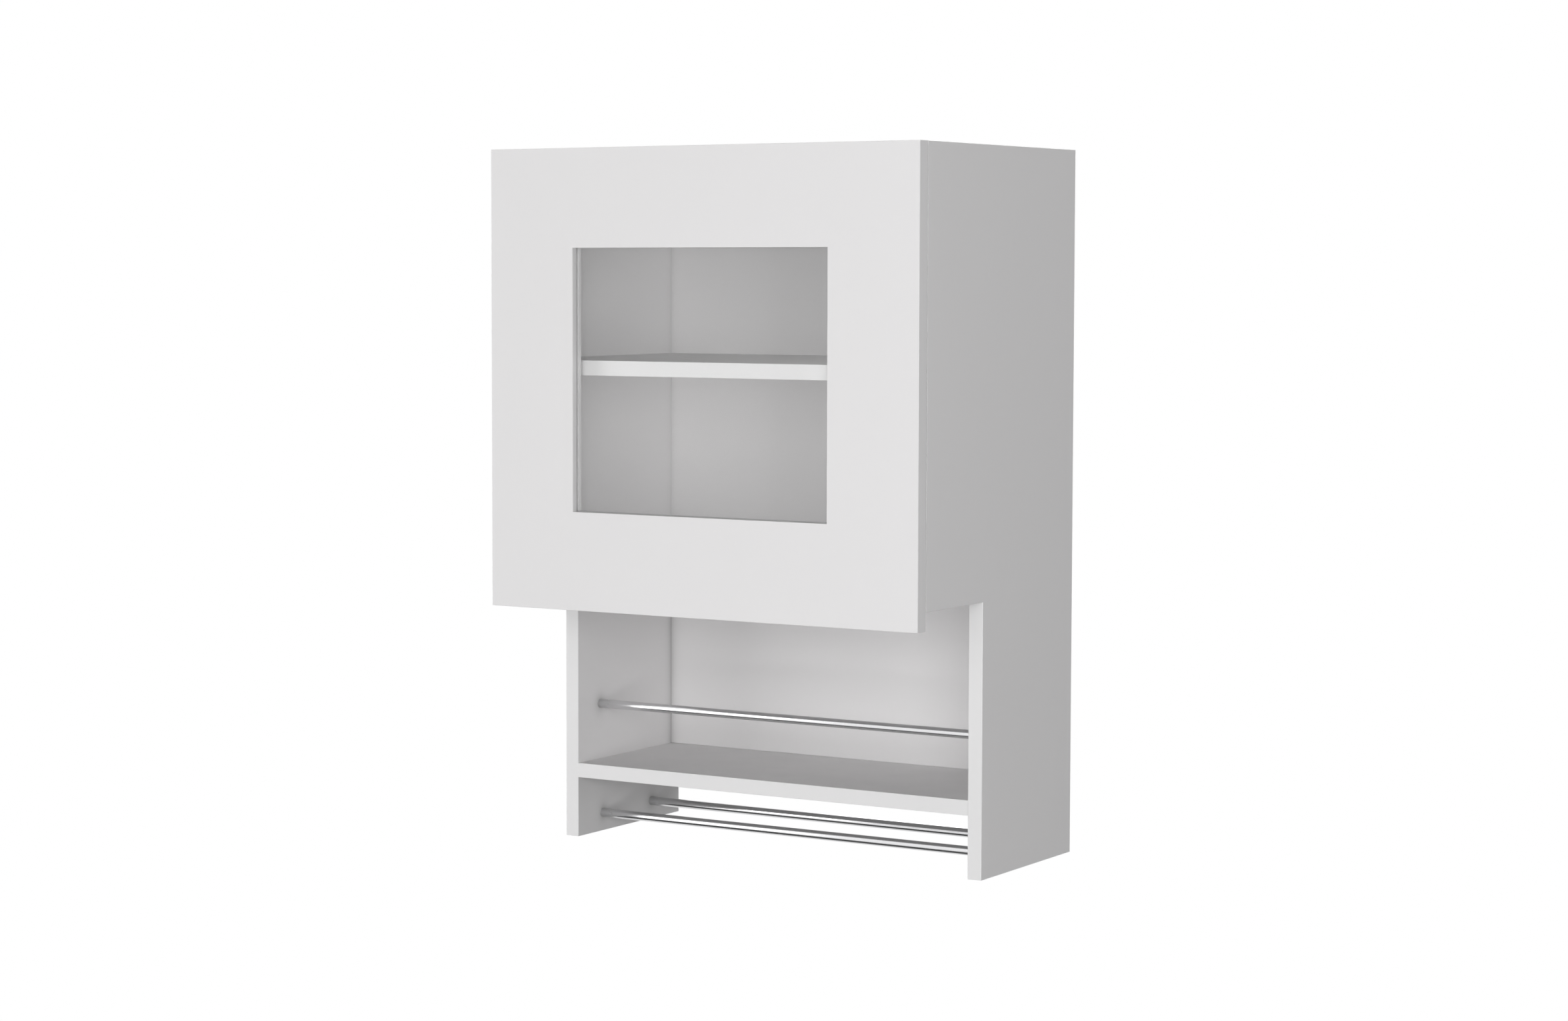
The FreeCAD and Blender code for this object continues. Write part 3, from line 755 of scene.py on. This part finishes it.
def jamb_band(name, shade_colour, reach, shade_share):
    """Edge band beside the glass, with painted shade where the two meet."""
    material, shader = new_shader(name)
    front, rear = (corner.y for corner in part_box("glass_pane"))
    gap = abs(shader.axes()[1] - (front + rear) / 2) - (rear - front) / 2
    fine = shader.noise(BAND_FINE, detail=1)
    shader.surface(
        Base_Color=shader.blend(shader.fade(gap, reach) * shade_share, BAND_WHITE, shade_colour),
        Roughness=shader.spread(fine, *JAMB_ROUGH),
        Specular_IOR_Level=MELAMINE_GLOSS,
        Normal=shader.bump(fine, *BAND_BUMP),
    )
    return material


EDGE_BAND = edge_band("edge_band", BAND_WHITE, BAND_SHADE)
SHELF_BAND = edge_band("cupboard_shelf_band", LIT_BAND_WHITE, LIT_BAND_SHADE)
JAMB_BAND = jamb_band("jamb_band", PAINTED_SHADE_GREY, reach=2.5 * MM, shade_share=0.3)
SILL_BAND = jamb_band("sill_band", SILL_SHADE, reach=15 * MM, shade_share=1.0)
print("bands:", ", ".join(band.name for band in (EDGE_BAND, SHELF_BAND, JAMB_BAND, SILL_BAND)))

# %% [markdown]
# ## Boards with eased edges
#
# No sawn board keeps a razor edge: the edge band is trimmed and its corner is rubbed off by a third
# of a millimetre, and that thin round is what catches the light along every edge. A bevel over the
# whole mesh would also eat the small bores, so only the long square edges are taken. The back panel's
# upright edges are rounded more, so that its joint with each side shows as a fine dark line. The
# edges in the gap behind the door stay square, so that the gap stays narrow. Bevel weights let one
# modifier make both sizes of round, so that their corners meet cleanly.

# %% Rounding of long edges
EDGE_ROUND = 0.35 * MM
JOINT_ROUND = 0.7 * MM
ROUND_STEPS = 2
LONG_EDGE = 60 * MM
GAP_REACH = 2 * MM


def upright_joint(a, b):
    """Whether an edge of the back panel is one of the two in sight in the corners with the sides."""
    return abs(a.z - b.z) > LONG_EDGE and max(abs(a.y - BACK_FACE), abs(b.y - BACK_FACE)) < MM


DOOR_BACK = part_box("door_board")[1].y


def at_door_gap(a, b):
    """Whether an edge lies in the narrow gap behind the closed door, where it stays square."""
    return max(abs(a.y - DOOR_BACK), abs(b.y - DOOR_BACK)) < GAP_REACH


def round_edges(piece, in_joint):
    """Rounds the long edges in one go, those in a joint by more than the others."""
    select_edges(piece, SQUARE_EDGE, lambda a, b: (a - b).length > LONG_EDGE and not at_door_gap(a, b))
    points = piece.data.vertices
    weights = piece.data.attributes.new("bevel_weight_edge", "FLOAT", "EDGE")
    for edge in piece.data.edges:
        ends = [points[i].co for i in edge.vertices]
        share = 1.0 if in_joint(*ends) else EDGE_ROUND / JOINT_ROUND
        weights.data[edge.index].value = share if edge.select else 0.0
    rounding = piece.modifiers.new("rounding", "BEVEL")
    rounding.limit_method, rounding.width, rounding.segments = "WEIGHT", JOINT_ROUND, ROUND_STEPS
    rounding.use_clamp_overlap = False
    bpy.ops.object.modifier_apply(modifier=rounding.name)


# %% [markdown]
# A board's broad faces keep the melamine and its narrow ones get the band. The door is the exception:
# its outer edges are faced like its front, and only its window has bands.

# %% Boards and door
# The door's materials, in order: its faces, and the bands of an edge, a jamb and the sill.
FACE, BAND, JAMB, SILL = range(4)
# A face looks along an axis when its normal goes more than this far that way.
ALONG = 0.5


def eased_board(node):
    piece = merged_copy(node)
    low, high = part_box(node)
    size = high - low
    thin = min(range(3), key=lambda axis: size[axis])
    round_edges(piece, upright_joint if node == "back_panel" else lambda a, b: False)
    piece.data.materials.append(EDGE_BAND)
    for face in piece.data.polygons:
        face.use_smooth = False
        if abs(face.normal[thin]) < ALONG:
            face.material_index = BAND
    return stand_for(piece, node)


def in_window(face):
    """Whether a face of the door is in its window and not on its outer edge."""
    low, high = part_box("glass_pane")
    return low.x - MM < face.center.x < high.x + MM and low.z - MM < face.center.z < high.z + MM


def eased_door():
    piece = eased_board("door_board")
    piece.data.materials[FACE] = DOOR_FACE
    piece.data.materials.append(JAMB_BAND)
    piece.data.materials.append(SILL_BAND)
    for face in piece.data.polygons:
        if face.material_index == BAND:
            jamb = SILL if face.normal.z > ALONG else JAMB
            face.material_index = jamb if in_window(face) else FACE
    return piece


BOARDS = ("left_side", "right_side", "top_panel", "cupboard_floor", "open_shelf", "back_panel")
shelf = eased_board("cupboard_shelf")
shelf.data.materials[FACE], shelf.data.materials[BAND] = SHELF_FACE, SHELF_BAND
boards = [eased_board(node) for node in BOARDS] + [shelf, eased_door()]
for piece in boards:
    print(piece.name, len(piece.data.polygons), "faces")

# %% [markdown]
# ## Glazing beads
#
# Four mitred strips hold the glass in its rebate. Their long edges are rounded as a moulding cutter
# leaves them, and the mitres stay tight, so the short edges are left out. The lower strip's top
# gets the same painted shade as the sill in front of it.

# %% Beads
BEAD_ROUND = 0.3 * MM
BEAD_STEPS = 3
NEARLY_LEVEL = 0.9
for node in ("glass_bead_top", "glass_bead_bottom", "glass_bead_left", "glass_bead_right"):
    piece = merged_copy(node)
    select_edges(piece, SQUARE_EDGE, lambda a, b: (a - b).length > LONG_EDGE)
    bevel_selected(BEAD_ROUND, BEAD_STEPS)
    piece.data.materials[0] = JAMB_BAND
    piece.data.materials.append(SILL_BAND)
    for face in piece.data.polygons:
        # Painted shade: the lower strip's upward faces take the sill's band.
        shaded = node == "glass_bead_bottom" and face.normal.z > NEARLY_LEVEL
        face.material_index = 1 if shaded else 0
    stand_for(piece, node)
    print(piece.name, len(piece.data.polygons), "faces")

# %% [markdown]
# ## Chromed rods
#
# A bright rod is a mirror bent round an axis, and any flat in it shows as a kink in the reflection.
# A many-sided cylinder is turned on its side and put in the CAD rod's place. Its ends are inset and
# pushed in, because the real rods are tube, and the outer corner gets the small chamfer of a cut end.

# %% Rods
TUBE_WALL = 0.8 * MM
TUBE_DEPTH = 6 * MM
ROD_SIDES = 96
ROD_CHAMFER = 0.3 * MM
CHAMFER_STEPS = 2
FLAT_END = 0.99
ROD_SMOOTH = math.radians(35)


def rod(node):
    low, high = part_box(node)
    bpy.ops.object.select_all(action="DESELECT")
    bpy.ops.mesh.primitive_cylinder_add(
        vertices=ROD_SIDES,
        radius=(high.z - low.z) / 2,
        depth=high.x - low.x,
        location=(low + high) / 2,
        rotation=(0, math.pi / 2, 0),
    )
    piece = bpy.context.object
    piece.name = f"{node}_tube"
    bpy.ops.object.transform_apply(location=True, rotation=True, scale=True)
    select_edges(piece, SQUARE_EDGE, lambda a, b: abs(a.x - b.x) < MM)
    bevel_selected(ROD_CHAMFER, CHAMFER_STEPS)
    select_faces(piece, lambda face: abs(face.normal.x) > FLAT_END)
    bpy.ops.object.mode_set(mode="EDIT")
    bpy.ops.mesh.inset(thickness=TUBE_WALL, use_individual=True)
    bpy.ops.mesh.extrude_faces_move(TRANSFORM_OT_shrink_fatten={"value": -TUBE_DEPTH})
    bpy.ops.object.mode_set(mode="OBJECT")
    bpy.ops.object.shade_smooth_by_angle(angle=ROD_SMOOTH)
    piece.data.materials.append(FINISHES[SLOT_OF[node]])
    return stand_for(piece, node)


for node in RODS:
    print(rod(node).name, "made")

# %% [markdown]
# ## Pressed steel: hinges, plates and the strike
#
# Hinge parts are punched and folded from sheet, tumbled to take off the burr, and nickel plated. A
# fine chamfer on every sharp edge stands for that tumbling: it draws a bright line round each part.
# The cams and pins get the same treatment, since a cast or turned edge is never quite sharp either.

# %% Hinges, plates, pins and cams
TUMBLED = 0.15 * MM
BURR_EDGE = 50
STEEL_SMOOTH = math.radians(30)
HINGE_PARTS = ("cup", "arm", "plate", "pin")
STEEL_PARTS = [f"{level}_hinge_{part}" for level in ("upper", "lower") for part in HINGE_PARTS]
STEEL_PARTS += ["strike_plate", "cam_locks"]


def tumbled(node):
    piece = merged_copy(node)
    select_edges(piece, BURR_EDGE, lambda a, b: True)
    bevel_selected(TUMBLED, segments=1, clamp=True)
    bpy.ops.object.shade_smooth_by_angle(angle=STEEL_SMOOTH)
    return stand_for(piece, node)


for node in STEEL_PARTS:
    print(node, len(tumbled(node).data.polygons), "faces")

# %% [markdown]
# ## Screws with a cross recess
#
# Every screw in sight has a cross recess. The recess is made as a tool: two crossed wedges, narrower
# at the tip. The CAD screws come as one node for each kind, so each node is split into its screws, the
# tool is copied to the middle of each head and cut away, and the screws are joined up again.

# %% The recess tool
# How far a wedge's length and width shrink towards its tip.
WEDGE_TIP = (0.4, 0.7, 1)


def cross_wedge(reach, width, depth):
    """Two crossed wedges that point down from z = 0 at the origin."""
    bpy.ops.object.select_all(action="DESELECT")
    bpy.ops.mesh.primitive_cube_add(size=1)
    tool = bpy.context.object
    tool.name = "recess_tool"
    select_faces(tool, lambda face: face.normal.z < -ALONG)
    bpy.ops.object.mode_set(mode="EDIT")
    bpy.ops.transform.resize(value=WEDGE_TIP)
    bpy.ops.mesh.select_all(action="SELECT")
    bpy.ops.transform.resize(value=(reach, width, depth * 2))
    bpy.ops.mesh.duplicate()
    bpy.ops.transform.rotate(value=math.pi / 2, orient_axis="Z", center_override=(0, 0, 0))
    bpy.ops.object.mode_set(mode="OBJECT")
    return tool


def separate_parts(piece):
    """Splits a piece into its loose parts."""
    take(piece)
    bpy.ops.object.mode_set(mode="EDIT")
    bpy.ops.mesh.select_all(action="SELECT")
    bpy.ops.mesh.separate(type="LOOSE")
    bpy.ops.object.mode_set(mode="OBJECT")
    return list(bpy.context.selected_objects)


# %% Screws
# Each kind: the way its heads face, then the recess's length, width and depth in millimetres.
SCREWS = {
    "cup_screws": ((0, 1, 0), (5.2, 1.1, 1.6)),
    "plate_screws": ((1, 0, 0), (7.0, 1.4, 2.2)),
    "arm_screws": ((1, 0, 0), (6.4, 1.3, 1.9)),
    "catch_screws": ((0, 0, -1), (5.0, 1.0, 1.3)),
    "strike_screw": ((0, 1, 0), (5.2, 1.1, 1.6)),
}
# No two screws stop at the same angle, so each cross is turned on from the last by this, in radians.
SCREW_TURN = 0.7


def cut_recess(screw, tool, way, turn):
    corners = [v.co for v in screw.data.vertices]
    middle = sum(corners, Vector()) / len(corners)
    way = Vector(way)
    head = max(corner.dot(way) for corner in corners)
    cutter = bpy.data.objects.new("cutter", tool.data.copy())
    bpy.context.collection.objects.link(cutter)
    cutter.location = middle + way * (head - middle.dot(way))
    cutter.rotation_mode = "QUATERNION"
    cutter.rotation_quaternion = way.to_track_quat("Z", "Y") @ Quaternion((0, 0, 1), turn)
    take(screw)
    cut = screw.modifiers.new("recess", "BOOLEAN")
    cut.operation, cut.solver, cut.use_self, cut.object = "DIFFERENCE", "EXACT", True, cutter
    bpy.ops.object.modifier_apply(modifier=cut.name)
    bpy.data.objects.remove(cutter)


def cross_screws(node):
    way, recess = SCREWS[node]
    tool = cross_wedge(*(size * MM for size in recess))
    screws = separate_parts(merged_copy(node))
    for number, screw in enumerate(screws):
        cut_recess(screw, tool, way, turn=SCREW_TURN * number)
    bpy.data.objects.remove(tool)
    bpy.ops.object.select_all(action="DESELECT")
    for screw in screws:
        screw.select_set(True)
    bpy.context.view_layer.objects.active = screws[0]
    if len(screws) > 1:
        bpy.ops.object.join()
    piece = bpy.context.view_layer.objects.active
    piece.name = f"{node}_cross"
    bpy.ops.object.shade_smooth_by_angle(angle=STEEL_SMOOTH)
    return stand_for(piece, node)


for node in SCREWS:
    print(node, len(cross_screws(node).data.polygons), "faces")

# %% [markdown]
# ## The catch
#
# The catch is a moulded plastic body round a ferrite block with a steel pole plate on each face. The
# body's edges are rounded like any moulding. The magnet keeps its CAD block with eased edges, and
# the pole plates are drawn by its material: bright steel in the outer millimetre, ferrite between.

# %% Catch
POLE = 1.2 * MM
FERRITE, POLE_STEEL = (0.035, 0.035, 0.04), (0.5, 0.5, 0.52)
MAGNET_ROUGH = (0.3, 0.55)
GRIT_SCALE = 1200
GRIT_BUMP = (0.03 * MM, 0.4)
MOULD_EDGE = 2.5 * MM
MOULD_STEPS = 2
MOULD_SMOOTH = math.radians(25)


def pole_magnet(node):
    material, shader = new_shader("ferrite_with_poles")
    low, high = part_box(node)
    height = shader.node("ShaderNodeSeparateXYZ", {}, {0: shader.place()}, "Z")
    pole = (height > high.z - POLE) + (height < low.z + POLE)
    grit = shader.noise(GRIT_SCALE, detail=3)
    shader.surface(
        Base_Color=shader.blend(pole, FERRITE, POLE_STEEL),
        Metallic=pole,
        Roughness=shader.spread(grit, *MAGNET_ROUGH),
        Normal=shader.bump(grit, *GRIT_BUMP),
    )
    return material


def moulded(node, width):
    piece = merged_copy(node)
    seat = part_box(node)[1].z - MM
    select_edges(piece, SQUARE_EDGE, lambda a, b: (a - b).length > MOULD_EDGE and min(a.z, b.z) < seat)
    bevel_selected(width, MOULD_STEPS)
    bpy.ops.object.shade_smooth_by_angle(angle=MOULD_SMOOTH)
    return stand_for(piece, node)


housing = moulded("catch_housing", width=0.4 * MM)
magnet = moulded("catch_magnet", width=0.25 * MM)
magnet.data.materials.clear()
magnet.data.materials.append(pole_magnet("catch_magnet"))
print(housing.name, magnet.name, "made")
